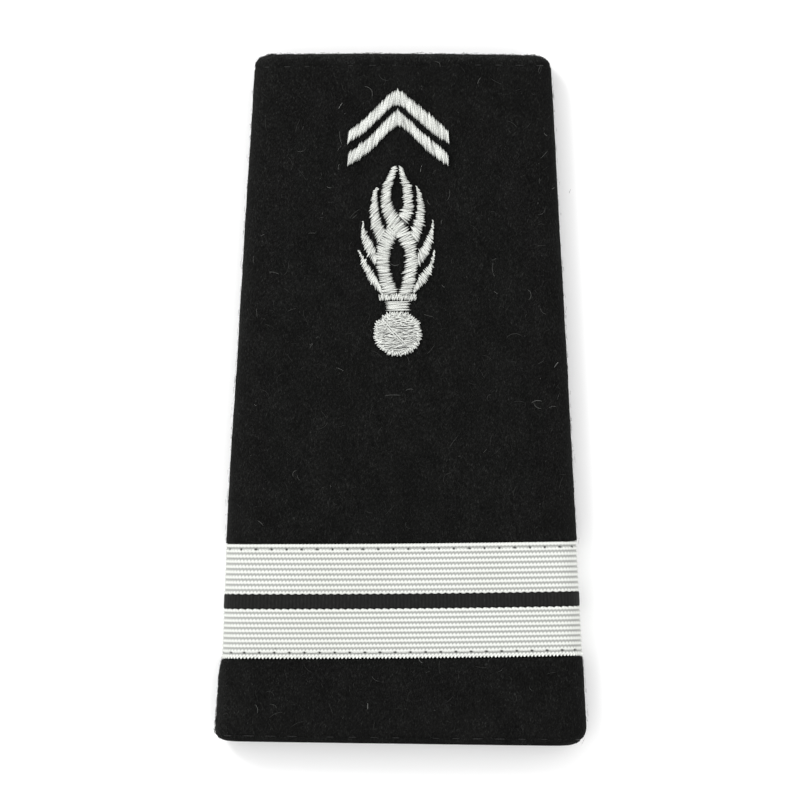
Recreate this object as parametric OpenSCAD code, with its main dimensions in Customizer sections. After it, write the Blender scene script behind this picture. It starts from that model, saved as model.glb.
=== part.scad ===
/* [Sleeve] */
// Width across the wide end, from fold to fold
base_w = 55.4; // [52:0.2:60]
// Width across the narrow end, from fold to fold
tip_w = 43.7; // [40:0.2:50]
// Length from the wide end to the narrow end
sleeve_l = 102; // [95:0.5:120]
// Height of the sleeve as it lies, at its fullest place
sleeve_h = 7.5; // [7.2:0.1:9]
// Thickness of the felt
felt_t = 1.3; // [1.1:0.05:1.5]
// How far the front drops from its middle to the folds
front_drop = 0.6; // [0.3:0.1:1]
// How far the back lifts from the surface towards the folds
back_lift = 0.4; // [0.2:0.1:0.6]
// Share of the back's width that lies flat on the surface
back_flat = 0.3; // [0.2:0.05:0.5]
// How far in from the side the felt begins to turn round a fold
fold_r = 3.2; // [2.6:0.1:3.6]
// How deep the side folds are dented where they are dented most
fold_dent = 0.5; // [0:0.05:0.6]
// Radius of the left corner at the wide end, seen from the front
base_corner_left = 1.9; // [1.6:0.1:3.5]
// Radius of the right corner at the wide end, seen from the front
base_corner_right = 2.9; // [1.6:0.1:3.5]
// Corner radius at the narrow end, seen from the front
tip_corner = 1.8; // [1.6:0.1:3]
// Angle at which the wide end's edge falls towards the right fold
base_angle = 0.55; // [0:0.05:1]
// How far the corners of the narrow end lie back from its middle
tip_bow = 0.2; // [0:0.05:0.5]

/* [Stitched edges] */
// Distance from the wide end to its row of stitches
base_hem = 0.9; // [0.7:0.1:2]
// Distance from the narrow end to its row of stitches
tip_hem = 1.7; // [1:0.1:2.5]
// Width of the groove that a row of stitches pulls into the felt
hem_groove_w = 0.6; // [0.4:0.1:1]
// Depth of that groove
hem_groove_d = 0.2; // [0.1:0.05:0.3]
// Width of the groove where the felt's edges meet along the back
seam_w = 0.8; // [0.5:0.1:1.5]
// Depth of that groove
seam_d = 0.45; // [0.2:0.05:0.6]

/* [Braid] */
// Distance from the wide end to the lower edge of the braid
braid_from_base = 12.6; // [8:0.1:25]
// Width of each white band
band_w = 7.4; // [5:0.1:9]
// Width of the black line between the two bands
line_w = 2.2; // [1.5:0.1:4]
// Thickness of the braid
braid_t = 0.5; // [0.4:0.05:0.6]
// How far the braid stands above the felt in the middle of the front
braid_proud = 0.2; // [0:0.05:0.3]
// Number of ribs along each white band
band_ribs = 10; // [6:1:12]
// Depth of the valleys between the ribs
rib_d = 0.15; // [0.05:0.05:0.25]
// Thickness that the felt is pressed to under the braid
pressed_t = 1; // [0.9:0.05:1.1]
// Angle at which the braid rises towards the right fold
braid_angle = 0.7; // [0:0.05:1.2]
// How far the braid bends up from the middle to the folds
braid_bow = 0.15; // [0:0.05:0.4]

/* [Embroidery] */
// Height of the satin stitching above the felt
satin_h = 0.7; // [0.4:0.05:1]
// Gap that each piece keeps from the felt under it
seat_gap = 0.05; // [0.03:0.01:0.1]
// Gap between neighbours in the embroidery
stitch_gap = 0.15; // [0.1:0.05:0.3]
// Distance of the embroidery to the left of the sleeve's middle line
badge_left = 0.6; // [0:0.1:2]
// Angle at which the embroidery leans left towards the narrow end
badge_angle = 0.1; // [0:0.01:0.6]
// Distance from the narrow end to the peak of the upper chevron
chevron_from_tip = 5.3; // [4:0.1:8]
// Distance from one end of a chevron to the other
chevron_w = 14.9; // [12:0.1:18]
// Rise of a chevron from its ends to its peak
chevron_rise = 6.3; // [4:0.1:7]
// Height of a chevron's band
chevron_band = 2.1; // [1.6:0.1:2.4]
// Distance from one chevron to the next
chevron_pitch = 2.95; // [2.7:0.05:4]
// Distance from the narrow end to the top of the flame
flame_from_tip = 16.6; // [16:0.1:20]
// Width of the flame, from tongue to tongue
flame_w = 11.5; // [10:0.1:14]
// Height of the flame
flame_h = 18.8; // [16:0.1:20]
// Width of the collar under the flame
collar_w = 5.6; // [4:0.1:7]
// Height of the collar
collar_h = 1; // [0.9:0.05:2]
// Width of the neck where it leaves the collar
neck_w = 3.9; // [3:0.1:4.5]
// Width of the neck where it meets the ball
neck_foot_w = 3.2; // [2.4:0.1:3.6]
// Height of the neck
neck_h = 1.1; // [0.8:0.05:1.6]
// Width of the ball
ball_w = 7.3; // [6:0.1:9]
// Height of the ball, seen from the front
ball_h = 6.8; // [6:0.1:9]
// Thickness of the ball's stitching in its middle
ball_t = 0.9; // [0.6:0.05:1.2]

/* [Hidden] */
FELT = [0.10, 0.11, 0.10];
WHITE = [0.85, 0.86, 0.84];
BLACK = [0.16, 0.16, 0.16];
THREAD = [0.79, 0.80, 0.78];

LEFT = -1;
RIGHT = 1;

// Lengths that follow from the sizes above
half_l = sleeve_l / 2;
lip_r = felt_t / 2;
braid_low = braid_from_base - half_l;
line_low = braid_low + band_w;
line_high = line_low + line_w;
braid_high = line_high + band_w;
recess_d = braid_t + seat_gap;
recess_slope = recess_d / 2;
inner_slope = 2 * felt_t;
band_edge = 0.03;
flame_foot = half_l - flame_from_tip - flame_h;

// Sections of the sleeve, straight across the braid. Columns: share of the way
// from the wide end to the braid, or from the braid to the narrow end, share of
// the height, share of the dent in the left fold, and in the right
sections_below = [
    [0.00, 0.955, 0.35, 0.00],
    [0.33, 0.970, 0.40, 0.00],
    [0.76, 0.985, 0.45, 0.05],
    [1.00, 0.990, 1.00, 0.10],
];
sections_above = [
    [0.00, 1.000, 0.15, 0.00],
    [0.09, 1.000, 0.00, 0.05],
    [0.37, 0.990, 0.05, 0.00],
    [0.65, 0.985, 0.00, 0.10],
    [0.89, 0.970, 0.05, 0.05],
    [1.00, 0.950, 0.00, 0.10],
];

// Rounding of the felt round a cut end, as angles from its outer face, and
// the share of its radius that is kept clear of other stations
lip_angles = [0, 50, 90, 130, 180];
lip_zone = 1.2;
// Places round a section: shares of the flat back and front, angles of a fold
back_shares = [0.3, 0.55, 0.8, 1];
fold_angles = [-65, -40, -15, 10, 38, 66];
front_shares = [1, 0.83, 0.66, 0.5, 0.33, 0.16, 0, -0.16, -0.33, -0.5, -0.66, -0.83, -1];
// Places in a rounded corner, as shares of its radius from the end
corner_shares = [0.3, 0.6, 1];

// Section of a satin stitched pad. Columns: share across, share of the height
satin_section = [[0, 0.4], [0.18, 0.85], [0.5, 1], [0.82, 0.85], [1, 0.4]];
// Section of the ball. Columns: share of the radius, share of the thickness
ball_section = [[1, 0.4], [0.9, 0.75], [0.55, 0.97]];
ball_sides = 32;

// The two chevrons. Columns: share of the half width, drop of the upper edge
// as a share of the rise, and share of the band's height
chevron_upper_rows = [
    [-1.00, 0.98, 0.87], [-0.75, 0.77, 0.92], [-0.51, 0.51, 0.99], [-0.28, 0.24, 0.99],
    [-0.14, 0.09, 1.00], [-0.01, 0.00, 1.04], [0.12, 0.09, 1.07], [0.26, 0.24, 1.04],
    [0.50, 0.47, 1.14], [0.74, 0.70, 1.14], [1.00, 0.98, 0.80],
];
chevron_lower_rows = [
    [-1.00, 1.02, 0.91], [-0.75, 0.82, 0.97], [-0.51, 0.58, 1.03], [-0.28, 0.29, 1.04],
    [-0.14, 0.12, 1.11], [-0.01, 0.00, 1.08], [0.12, 0.13, 1.02], [0.26, 0.29, 0.94],
    [0.50, 0.56, 0.95], [0.74, 0.79, 1.01], [0.99, 1.02, 0.86],
];

// The flame is charted in squares. The chart's middle line has 39 squares to
// each side, and it is 128 squares high from the foot of the flame to its top.
chart_side = 39;
chart_high = 128;
// Columns of each chart: left edge across and up, right edge across and up
strand_over_chart = [
    [-5, 128, -1, 127.5], [-10, 119, -3, 118], [-15, 108.5, -6, 108], [-17.5, 95, -7, 96],
    [-17, 85, -5.5, 88], [-14, 75, -2, 82], [-10, 67, 4, 76], [-6, 61, 9.5, 67],
    [-2, 56, 15, 59.5], [3, 49, 19, 51], [7, 41, 19.5, 41], [7, 31, 21.5, 32],
    [6, 21, 19.5, 23], [4.5, 14, 18, 15], [3, 8, 17, 8], [1, 0.5, 14.5, 0.5],
];
strand_under_high_chart = [
    [0.8, 128, 4, 127], [1.5, 118, 8, 117], [4, 107, 13, 108], [4.5, 97, 15, 97],
    [5, 90, 16, 89], [3.5, 84.5, 15.3, 81], [2.5, 81, 9.5, 69],
];
strand_under_low_chart = [
    [-11.5, 66, -2.8, 54.5], [-17, 60, -4, 50], [-20.3, 51, -6.5, 44.5], [-22.4, 41, -8, 37],
    [-23, 31, -8.4, 30], [-21.3, 22, -7, 21.5], [-19.7, 13, -4.4, 14], [-18, 6, -2, 7],
    [-16.3, 0.5, -0.3, 0.5],
];
tongue_left_high_chart = [
    [-21.2, 106, -20.6, 106], [-25.5, 100, -21.2, 100], [-27, 91, -20.3, 91],
    [-28.4, 82, -18.8, 83], [-27.7, 72, -17.2, 75], [-25.5, 62, -15, 68],
    [-22.2, 55.5, -14, 65.5],
];
tongue_left_mid_chart = [
    [-34.7, 72.5, -34.2, 72.5], [-36.7, 64, -33.4, 65], [-36.8, 55, -29.5, 57.5],
    [-33.3, 44, -25.4, 51], [-29.4, 36.5, -23.2, 45.5], [-24.6, 32, -23.6, 40.5],
];
tongue_left_low_chart = [
    [-39, 42.5, -38.5, 42.5], [-37.2, 33, -33.8, 35], [-33.5, 22, -28.8, 26.5],
    [-29.5, 12.5, -24.2, 20.5], [-24.5, 6, -21.8, 17], [-18.8, 2.2, -20.4, 11],
];
tongue_right_high_chart = [
    [18.2, 107.5, 19, 107.5], [18.3, 100, 23, 100], [18.6, 89, 26, 89],
    [17.6, 78, 27, 79], [15.6, 70, 26, 68], [13.4, 65.4, 22, 55.5],
];
tongue_right_mid_chart = [
    [34.7, 73, 35.3, 73], [32.5, 64, 35.6, 64], [28.5, 55, 35.5, 53.5],
    [24.3, 47.5, 32, 43.5], [21.8, 43.5, 28.5, 35.5], [21.8, 40, 23.5, 31.7],
];
tongue_right_low_chart = [
    [36.3, 43, 36.9, 43], [32.8, 32.5, 36, 32], [26.5, 23.5, 33, 20],
    [21.8, 17.5, 28.5, 11.5], [19.9, 13.5, 23.5, 6], [18.9, 9, 19, 3.2],
];

// Values between rows
function mix(a, b, t) = a + (b - a) * t;
function column(rows, c) = [for (row = rows) [row[0], row[c]]];
function row_at(rows, i) = rows[max(0, min(len(rows) - 1, i))];
function curve(p0, p1, p2, p3, t) =
    p1 + (p2 - p0) * t / 2 + (2 * p0 - 5 * p1 + 4 * p2 - p3) * t * t / 2
    + (3 * p1 - p0 - 3 * p2 + p3) * t * t * t / 2;
function smooth_rows(rows, steps) = [
    for (i = [0:len(rows) - 2]) for (k = [0:steps - 1])
        curve(row_at(rows, i - 1), rows[i], rows[i + 1], row_at(rows, i + 2), k / steps),
    rows[len(rows) - 1],
];
function sorted(list) = len(list) < 2 ? list : let (
    pivot = list[floor(len(list) / 2)],
    low = [for (v = list) if (v < pivot) v],
    same = [for (v = list) if (v == pivot) v],
    high = [for (v = list) if (v > pivot) v]
) concat(sorted(low), [same[0]], sorted(high));

// Sections with their place as a share of the whole length
function placed(rows, low, high) = [
    for (row = rows) [(mix(low, high, row[0]) + half_l) / sleeve_l, row[1], row[2], row[3]],
];
sections = concat(placed(sections_below, -half_l, braid_low), placed(sections_above, braid_high, half_l));

// The sleeve's form along its length, y0 being the place on its middle line
function along(y0) = (y0 + half_l) / sleeve_l;
function height_at(y0) = sleeve_h * lookup(along(y0), column(sections, 1));
function corner_cut(from_end, r) =
    from_end < r ? r - sqrt(max(0, r * r - pow(r - from_end, 2))) : 0;
function half_w(y0, side) =
    mix(base_w, tip_w, along(y0)) / 2
    - fold_dent * lookup(along(y0), column(sections, side == LEFT ? 2 : 3))
    - corner_cut(y0 + half_l, side == LEFT ? base_corner_left : base_corner_right)
    - corner_cut(half_l - y0, tip_corner);
function slant_at(y0) = lookup(y0, [[-half_l, -tan(base_angle)], [braid_low, tan(braid_angle)],
    [braid_high, tan(braid_angle)], [half_l, 0]]);
function bow_at(y0) = lookup(y0,
    [[-half_l, 0], [braid_low, braid_bow], [braid_high, braid_bow], [half_l, -tip_bow]]);
function side_of(x) = x < 0 ? LEFT : RIGHT;
function across(x, y0) = 2 * x / mix(base_w, tip_w, along(y0));
function front_z(x, y0) = height_at(y0) - front_drop * pow(across(x, y0), 2);
function back_z(x, y0) = back_lift * pow(max(0, abs(across(x, y0)) - back_flat) / (1 - back_flat), 2);

// How far the outer face lies in from the plain form, and the inner face
recess_low = braid_low - seat_gap;
recess_high = braid_high + seat_gap;
function recess_share(y0) = lookup(y0, [[recess_low - recess_slope, 0], [recess_low, 1],
    [recess_high, 1], [recess_high + recess_slope, 0]]);
function hem_at(y0, row) = hem_groove_d * max(0, 1 - 2 * abs(y0 - row) / hem_groove_w);
function outer_in(y0) = recess_d * recess_share(y0)
    + hem_at(y0, base_hem - half_l) + hem_at(y0, half_l - tip_hem);
function inner_in(y0) = lookup(y0, [[recess_low - inner_slope, felt_t],
    [recess_low, recess_d + pressed_t], [recess_high, recess_d + pressed_t],
    [recess_high + inner_slope, felt_t]]);

// Points round the sleeve at y0, at a depth in from the plain form, raised in
// the middle of the front by proud
function place(x, y0, z) = [x, y0 + slant_at(y0) * x + bow_at(y0) * pow(across(x, y0), 2), z];
function flat_end(y0, side) = side * (half_w(y0, side) - fold_r);
function back_point(x, y0, depth) = place(x, y0, back_z(x, y0) + depth);
function front_point(s, y0, depth, proud) = let (x = abs(s) * flat_end(y0, side_of(s)))
    place(x, y0, front_z(x, y0) - depth + proud * (1 - pow(s, 4)));
function fold_point(side, a, y0, depth) = let (
    x = flat_end(y0, side),
    top = front_z(x, y0),
    bottom = back_z(x, y0)
) place(x + side * (fold_r - depth) * cos(a), y0,
    (top + bottom) / 2 + ((top - bottom) / 2 - depth) * sin(a));
function open_ring(y0, depth, proud) = [
    back_point(seam_w / 2, y0, depth),
    for (s = back_shares) back_point(s * flat_end(y0, RIGHT), y0, depth),
    for (a = fold_angles) fold_point(RIGHT, a, y0, depth),
    for (s = front_shares) front_point(s, y0, depth, proud),
    for (i = [len(fold_angles) - 1:-1:0]) fold_point(LEFT, fold_angles[i], y0, depth),
    for (i = [len(back_shares) - 1:-1:0]) back_point(back_shares[i] * flat_end(y0, LEFT), y0, depth),
    back_point(-seam_w / 2, y0, depth),
];
function seam_ring(y0, depth, groove, proud) =
    concat([back_point(0, y0, depth + groove)], open_ring(y0, depth, proud));

// Faces between rows of points, each row with n points: the rows close on
// each other, and each row closes on itself if it is a whole ring
function quad(a, b, c, d) = [[a, b, c], [a, c, d]];
function grid_faces(rows, n, whole) = [
    for (i = [0:rows - 1]) for (j = [0:whole ? n - 1 : n - 2])
        for (f = quad(i * n + j, i * n + (j + 1) % n,
            ((i + 1) % rows) * n + (j + 1) % n, ((i + 1) % rows) * n + j)) f,
];

// The sleeve's stations, from the wide end to the narrow end
outer_stations = sorted([
    for (r = [base_corner_left, base_corner_right]) for (s = corner_shares) r * s - half_l,
    for (s = corner_shares) half_l - tip_corner * s,
    for (k = [-1, 0, 1]) base_hem + k * hem_groove_w / 2 - half_l,
    for (k = [-1, 0, 1]) half_l - tip_hem + k * hem_groove_w / 2,
    for (row = sections) if (row[0] > 0 && row[0] < 1 && recess_share(row[0] * sleeve_l - half_l) == 0)
        row[0] * sleeve_l - half_l,
    recess_low - recess_slope, recess_low, recess_high, recess_high + recess_slope,
]);
inner_stations = sorted([
    for (r = [base_corner_left, base_corner_right]) for (s = corner_shares) r * s - half_l,
    for (s = corner_shares) half_l - tip_corner * s,
    recess_low - inner_slope, recess_low, recess_high, recess_high + inner_slope,
]);
function inside_lips(stations) = [for (y0 = stations) if (abs(y0) < half_l - lip_zone * lip_r) y0];
function lip_ring(end, a) =
    seam_ring(end * (half_l - lip_r + lip_r * sin(a)), lip_r * (1 - cos(a)), 0, 0);

sleeve_rings = let (outer = inside_lips(outer_stations), inner = inside_lips(inner_stations)) [
    for (y0 = outer) seam_ring(y0, outer_in(y0), seam_d * (1 - recess_share(y0)),
        braid_proud * recess_share(y0)),
    for (a = lip_angles) lip_ring(RIGHT, a),
    for (i = [len(inner) - 1:-1:0]) seam_ring(inner[i], inner_in(inner[i]), 0, 0),
    for (i = [len(lip_angles) - 1:-1:0]) lip_ring(LEFT, lip_angles[i]),
];

// The middle of the whole form, which is put over the origin
sleeve_points = [for (ring = sleeve_rings) for (p = ring) p];
middle_x = (min([for (p = sleeve_points) p[0]]) + max([for (p = sleeve_points) p[0]])) / 2;
middle_y = (min([for (p = sleeve_points) p[1]]) + max([for (p = sleeve_points) p[1]])) / 2;
function centred(points) = [for (p = points) p - [middle_x, middle_y, 0]];

module felt_sleeve() {
    color(FELT)
        polyhedron(centred(sleeve_points), grid_faces(len(sleeve_rings), len(sleeve_rings[0]), true));
}

// A band of the braid between two places, with ribs along it. Its section is
// the inner face's two edges and then the outer face, back to the start.
module band(low, high, ribs) {
    outer = [for (k = [2 * ribs:-1:0]) [mix(low, high, k / (2 * ribs)), k % 2 == 1 ? 0 : rib_d]];
    section = concat([[low, braid_t], [high, braid_t]], outer);
    lines = [for (p = section) open_ring(p[0], p[1], braid_proud)];
    n = len(lines[0]);
    rows = len(section);
    caps = [for (i = [1:rows - 2])
        for (f = [[0, i * n, (i + 1) * n], [n - 1, (i + 2) * n - 1, (i + 1) * n - 1]]) f];
    polyhedron(centred([for (line = lines) for (p = line) p]), concat(grid_faces(rows, n, false), caps));
}

module braid_lower_band() {
    color(WHITE) band(braid_low, line_low - band_edge, band_ribs);
}

module braid_centre_line() {
    color(BLACK) band(line_low, line_high, 1);
}

module braid_upper_band() {
    color(WHITE) band(line_high + band_edge, braid_high, band_ribs);
}

// A satin stitched pad on the front between two edges. Columns of its rows:
// one edge across and up, the other edge across and up
function on_front(u, v, up) = let (x = u - badge_left - v * tan(badge_angle))
    [x, v, front_z(x, v) + seat_gap + up];
function pad_ring(row) = [
    on_front(row[0], row[1], 0),
    for (s = satin_section) on_front(mix(row[0], row[2], s[0]), mix(row[1], row[3], s[0]), satin_h * s[1]),
    on_front(row[2], row[3], 0),
];
module pad(rows) {
    rings = [for (row = rows) pad_ring(row)];
    n = len(rings[0]);
    last = len(rings) - 1;
    sides = [for (i = [0:last - 1]) for (j = [0:n - 1])
        for (f = quad(i * n + j, i * n + (j + 1) % n, (i + 1) * n + (j + 1) % n, (i + 1) * n + j)) f];
    ends = [for (j = [1:n - 2]) for (f = [[0, j + 1, j], [last * n, last * n + j, last * n + j + 1]]) f];
    polyhedron(centred([for (ring = rings) for (p = ring) p]), concat(sides, ends));
}

function chevron_row(row, peak) = let (
    x = row[0] * chevron_w / 2,
    top = peak - row[1] * chevron_rise
) [x, top - row[2] * chevron_band, x, top];
module chevron(rows, number) {
    peak = half_l - chevron_from_tip - number * chevron_pitch;
    color(THREAD) pad(smooth_rows([for (row = rows) chevron_row(row, peak)], 2));
}

module chevron_upper() {
    chevron(chevron_upper_rows, 0);
}

module chevron_lower() {
    chevron(chevron_lower_rows, 1);
}

function charted(rows) = [for (row = rows) [
    row[0] / chart_side * flame_w / 2, flame_foot + row[1] / chart_high * flame_h,
    row[2] / chart_side * flame_w / 2, flame_foot + row[3] / chart_high * flame_h]];
module flame_piece(chart) {
    color(THREAD) pad(smooth_rows(charted(chart), 2));
}

module flame_strand_over() {
    flame_piece(strand_over_chart);
}

module flame_strand_under() {
    flame_piece(strand_under_high_chart);
    flame_piece(strand_under_low_chart);
}

module flame_tongue_left_high() {
    flame_piece(tongue_left_high_chart);
}

module flame_tongue_left_mid() {
    flame_piece(tongue_left_mid_chart);
}

module flame_tongue_left_low() {
    flame_piece(tongue_left_low_chart);
}

module flame_tongue_right_high() {
    flame_piece(tongue_right_high_chart);
}

module flame_tongue_right_mid() {
    flame_piece(tongue_right_mid_chart);
}

module flame_tongue_right_low() {
    flame_piece(tongue_right_low_chart);
}

// The grenade under the flame, from its collar down. The collar's ends round
// off over this angle to each side.
collar_turn = 80;
collar_top = flame_foot - stitch_gap;
neck_top = collar_top - collar_h - stitch_gap;
ball_top = neck_top - neck_h - stitch_gap;

module grenade_collar() {
    middle = collar_top - collar_h / 2;
    color(THREAD) pad([for (a = [-collar_turn:collar_turn / 4:collar_turn]) let (
        x = collar_w / 2 * sin(a) / sin(collar_turn),
        half = collar_h / 2 * pow(cos(a), 0.4)
    ) [x, middle - half, x, middle + half]]);
}

module grenade_neck() {
    color(THREAD) pad([for (s = [0, 0.5, 1]) let (
        half = mix(neck_w, neck_foot_w, s) / 2,
        y = neck_top - s * neck_h
    ) [-half, y, half, y]]);
}

module grenade_ball() {
    middle = ball_top - ball_h / 2;
    function ball_ring(radius, up) = [for (k = [0:ball_sides - 1]) let (a = 360 * k / ball_sides)
        on_front(radius * ball_w / 2 * cos(a), middle + radius * ball_h / 2 * sin(a), up)];
    rings = concat([ball_ring(1, 0)], [for (s = ball_section) ball_ring(s[0], ball_t * s[1])]);
    n = ball_sides;
    foot = len(rings) * n;
    sides = [for (i = [0:len(rings) - 2]) for (j = [0:n - 1])
        for (f = quad(i * n + j, (i + 1) * n + j, (i + 1) * n + (j + 1) % n, i * n + (j + 1) % n)) f];
    ends = [for (j = [0:n - 1])
        for (f = [[foot, j, (j + 1) % n], [foot + 1, foot - n + (j + 1) % n, foot - n + j]]) f];
    points = concat([for (ring = rings) for (p = ring) p],
        [on_front(0, middle, 0), on_front(0, middle, ball_t)]);
    color(THREAD) polyhedron(centred(points), concat(sides, ends));
}

felt_sleeve();
braid_lower_band();
braid_centre_line();
braid_upper_band();
chevron_upper();
chevron_lower();
flame_strand_over();
flame_strand_under();
flame_tongue_left_high();
flame_tongue_left_mid();
flame_tongue_left_low();
flame_tongue_right_high();
flame_tongue_right_mid();
flame_tongue_right_low();
grenade_collar();
grenade_neck();
grenade_ball();
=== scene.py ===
import math

import bmesh
import bpy
import numpy as np
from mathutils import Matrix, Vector, noise


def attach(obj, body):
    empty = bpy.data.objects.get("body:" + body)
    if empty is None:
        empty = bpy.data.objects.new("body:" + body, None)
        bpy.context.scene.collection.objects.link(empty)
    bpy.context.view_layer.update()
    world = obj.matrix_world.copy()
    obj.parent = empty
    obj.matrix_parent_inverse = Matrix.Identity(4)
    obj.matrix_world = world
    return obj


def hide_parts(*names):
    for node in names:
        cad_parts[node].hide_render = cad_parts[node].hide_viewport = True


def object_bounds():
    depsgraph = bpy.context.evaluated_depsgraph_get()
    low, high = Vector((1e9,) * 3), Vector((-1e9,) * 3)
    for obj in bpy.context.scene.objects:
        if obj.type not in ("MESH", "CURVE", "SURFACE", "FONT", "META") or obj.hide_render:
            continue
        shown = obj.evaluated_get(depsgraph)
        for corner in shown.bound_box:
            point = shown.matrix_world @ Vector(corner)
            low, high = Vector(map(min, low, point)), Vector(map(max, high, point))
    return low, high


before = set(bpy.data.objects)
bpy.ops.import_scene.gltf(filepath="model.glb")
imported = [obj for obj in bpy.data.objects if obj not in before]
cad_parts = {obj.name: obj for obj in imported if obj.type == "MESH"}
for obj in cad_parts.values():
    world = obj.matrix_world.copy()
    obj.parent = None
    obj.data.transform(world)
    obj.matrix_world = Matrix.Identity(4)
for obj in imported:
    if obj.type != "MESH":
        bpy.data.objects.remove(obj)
cad_box = [list(corner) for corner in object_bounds()]
rng = np.random.default_rng(41)

MM = 0.001

# Sizes of the sleeve in millimetres, as the solids have them
BASE_W = 55.4
TIP_W = 43.7
SLEEVE_L = 102.0
SLEEVE_H = 7.5
FELT_T = 1.3
FRONT_DROP = 0.6
BACK_LIFT = 0.4
BACK_FLAT = 0.3
FOLD_R = 3.2
FOLD_DENT = 0.5
BASE_CORNER_LEFT = 1.9
BASE_CORNER_RIGHT = 2.9
TIP_CORNER = 1.8
BASE_ANGLE = math.radians(0.55)
TIP_BOW = 0.2
BASE_HEM = 0.9
TIP_HEM = 1.7
HEM_GROOVE_W = 0.6
HEM_GROOVE_D = 0.2
HEM_PITCH = 3.1
TIP_HEM_SLANT = 0.01
HEM_THREAD_R = 0.08
SEAM_W = 0.8
SEAM_D = 0.45
SEAM_PITCH = 2.0
SEAM_THREAD_R = 0.09
# Sizes of the braid
BRAID_FROM_BASE = 12.6
BAND_W = 7.4
LINE_W = 2.2
BRAID_T = 0.5
BRAID_PROUD = 0.2
PRESSED_T = 1.0
BRAID_ANGLE = math.radians(0.7)
BRAID_BOW = 0.15
SEAT_GAP = 0.05
BAND_RIBS = 10
RIB_D = 0.15
FIRST_RIB_UPPER = 0.23
FIRST_RIB_LOWER = 0.47
WEAVE_PITCH = 0.53
STITCH_PITCH_UPPER = 2.28
STITCH_PITCH_LOWER = 2.21
STITCH_IN_UPPER = 0.81
STITCH_IN_LOWER = 0.97
FIRST_HOLE_UPPER = -23.72
FIRST_HOLE_LOWER = -23.19
# Sizes of the embroidery
SATIN_H = 0.7
BADGE_LEFT = 0.6
BADGE_ANGLE = math.radians(0.1)
CHEVRON_FROM_TIP = 5.3
CHEVRON_W = 14.9
CHEVRON_RISE = 6.3
CHEVRON_BAND = 2.1
CHEVRON_PITCH = 2.95
FLAME_FROM_TIP = 16.6
FLAME_W = 11.5
FLAME_H = 18.8
STITCH_GAP = 0.15
COLLAR_W = 5.6
COLLAR_H = 1.0
NECK_W = 3.9
NECK_FOOT_W = 3.2
NECK_H = 1.1
BALL_W = 7.3
BALL_H = 6.8
BALL_T = 0.9
BALL_ROW_PITCH = 0.043
BORDER_POINTS = 56
THREAD_R = 0.08
# Steps round the sleeve, and numbers of loose threads
FELT_STEP = 0.5
BRAID_STEP = 0.18
HEM_STEP = 0.15
FIBRES = 9000
FUZZ = 4600
FAINT_LINT = 260
# The width that the photograph takes in, at the height of the front face
PHOTO_W = 118.24
PHOTO_FACE = 6.5


def mix(a, b, t):
    return a + (b - a) * t


HALF_L = SLEEVE_L / 2
SLEEVE_W_MEAN = (BASE_W + TIP_W) / 2
BASE_ROW = BASE_HEM - HALF_L
TIP_ROW = HALF_L - TIP_HEM
LIP_R = FELT_T / 2
BRAID_LOW = BRAID_FROM_BASE - HALF_L
LINE_LOW = BRAID_LOW + BAND_W
LINE_HIGH = LINE_LOW + LINE_W
BRAID_HIGH = LINE_HIGH + BAND_W
RECESS_D = BRAID_T + SEAT_GAP
RECESS_SLOPE = 0.12
RECESS_LOW = BRAID_LOW + 0.02
RECESS_HIGH = BRAID_HIGH - 0.02
RECESS_EDGES = [RECESS_LOW - RECESS_SLOPE, RECESS_LOW, RECESS_HIGH, RECESS_HIGH + RECESS_SLOPE]
FLAME_FOOT = HALF_L - FLAME_FROM_TIP - FLAME_H
COLLAR_TOP = FLAME_FOOT - STITCH_GAP
NECK_TOP = COLLAR_TOP - COLLAR_H - STITCH_GAP
BALL_MIDDLE = NECK_TOP - NECK_H - STITCH_GAP - BALL_H / 2

# Sections, straight across the sleeve. Columns: place, share of the height, share of
# the dent in the left fold, and in the right. Places are shares of the way from the
# wide end to the braid, and then from the braid to the narrow end.
SECTIONS = np.array([[mix(low, high, share), *rest] for low, high, rows in (
    (-HALF_L, BRAID_LOW, [
        [0.00, 0.955, 0.35, 0.00],
        [0.33, 0.970, 0.40, 0.00],
        [0.76, 0.985, 0.45, 0.05],
        [1.00, 0.990, 1.00, 0.10],
    ]),
    (BRAID_HIGH, HALF_L, [
        [0.00, 1.000, 0.15, 0.00],
        [0.09, 1.000, 0.00, 0.05],
        [0.37, 0.990, 0.05, 0.00],
        [0.65, 0.985, 0.00, 0.10],
        [0.89, 0.970, 0.05, 0.05],
        [1.00, 0.950, 0.00, 0.10],
    ]),
) for share, *rest in rows])

# Columns: share of the half width, drop of the upper edge as a share of the
# rise, and share of the band's height
CHEVRON_UPPER = [
    [-1.00, 0.98, 0.87], [-0.75, 0.77, 0.92], [-0.51, 0.51, 0.99], [-0.28, 0.24, 0.99],
    [-0.14, 0.09, 1.00], [-0.01, 0.00, 1.04], [0.12, 0.09, 1.07], [0.26, 0.24, 1.04],
    [0.50, 0.47, 1.14], [0.74, 0.70, 1.14], [1.00, 0.98, 0.80],
]
CHEVRON_LOWER = [
    [-1.00, 1.02, 0.91], [-0.75, 0.82, 0.97], [-0.51, 0.58, 1.03], [-0.28, 0.29, 1.04],
    [-0.14, 0.12, 1.11], [-0.01, 0.00, 1.08], [0.12, 0.13, 1.02], [0.26, 0.29, 0.94],
    [0.50, 0.56, 0.95], [0.74, 0.79, 1.01], [0.99, 1.02, 0.86],
]

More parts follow.
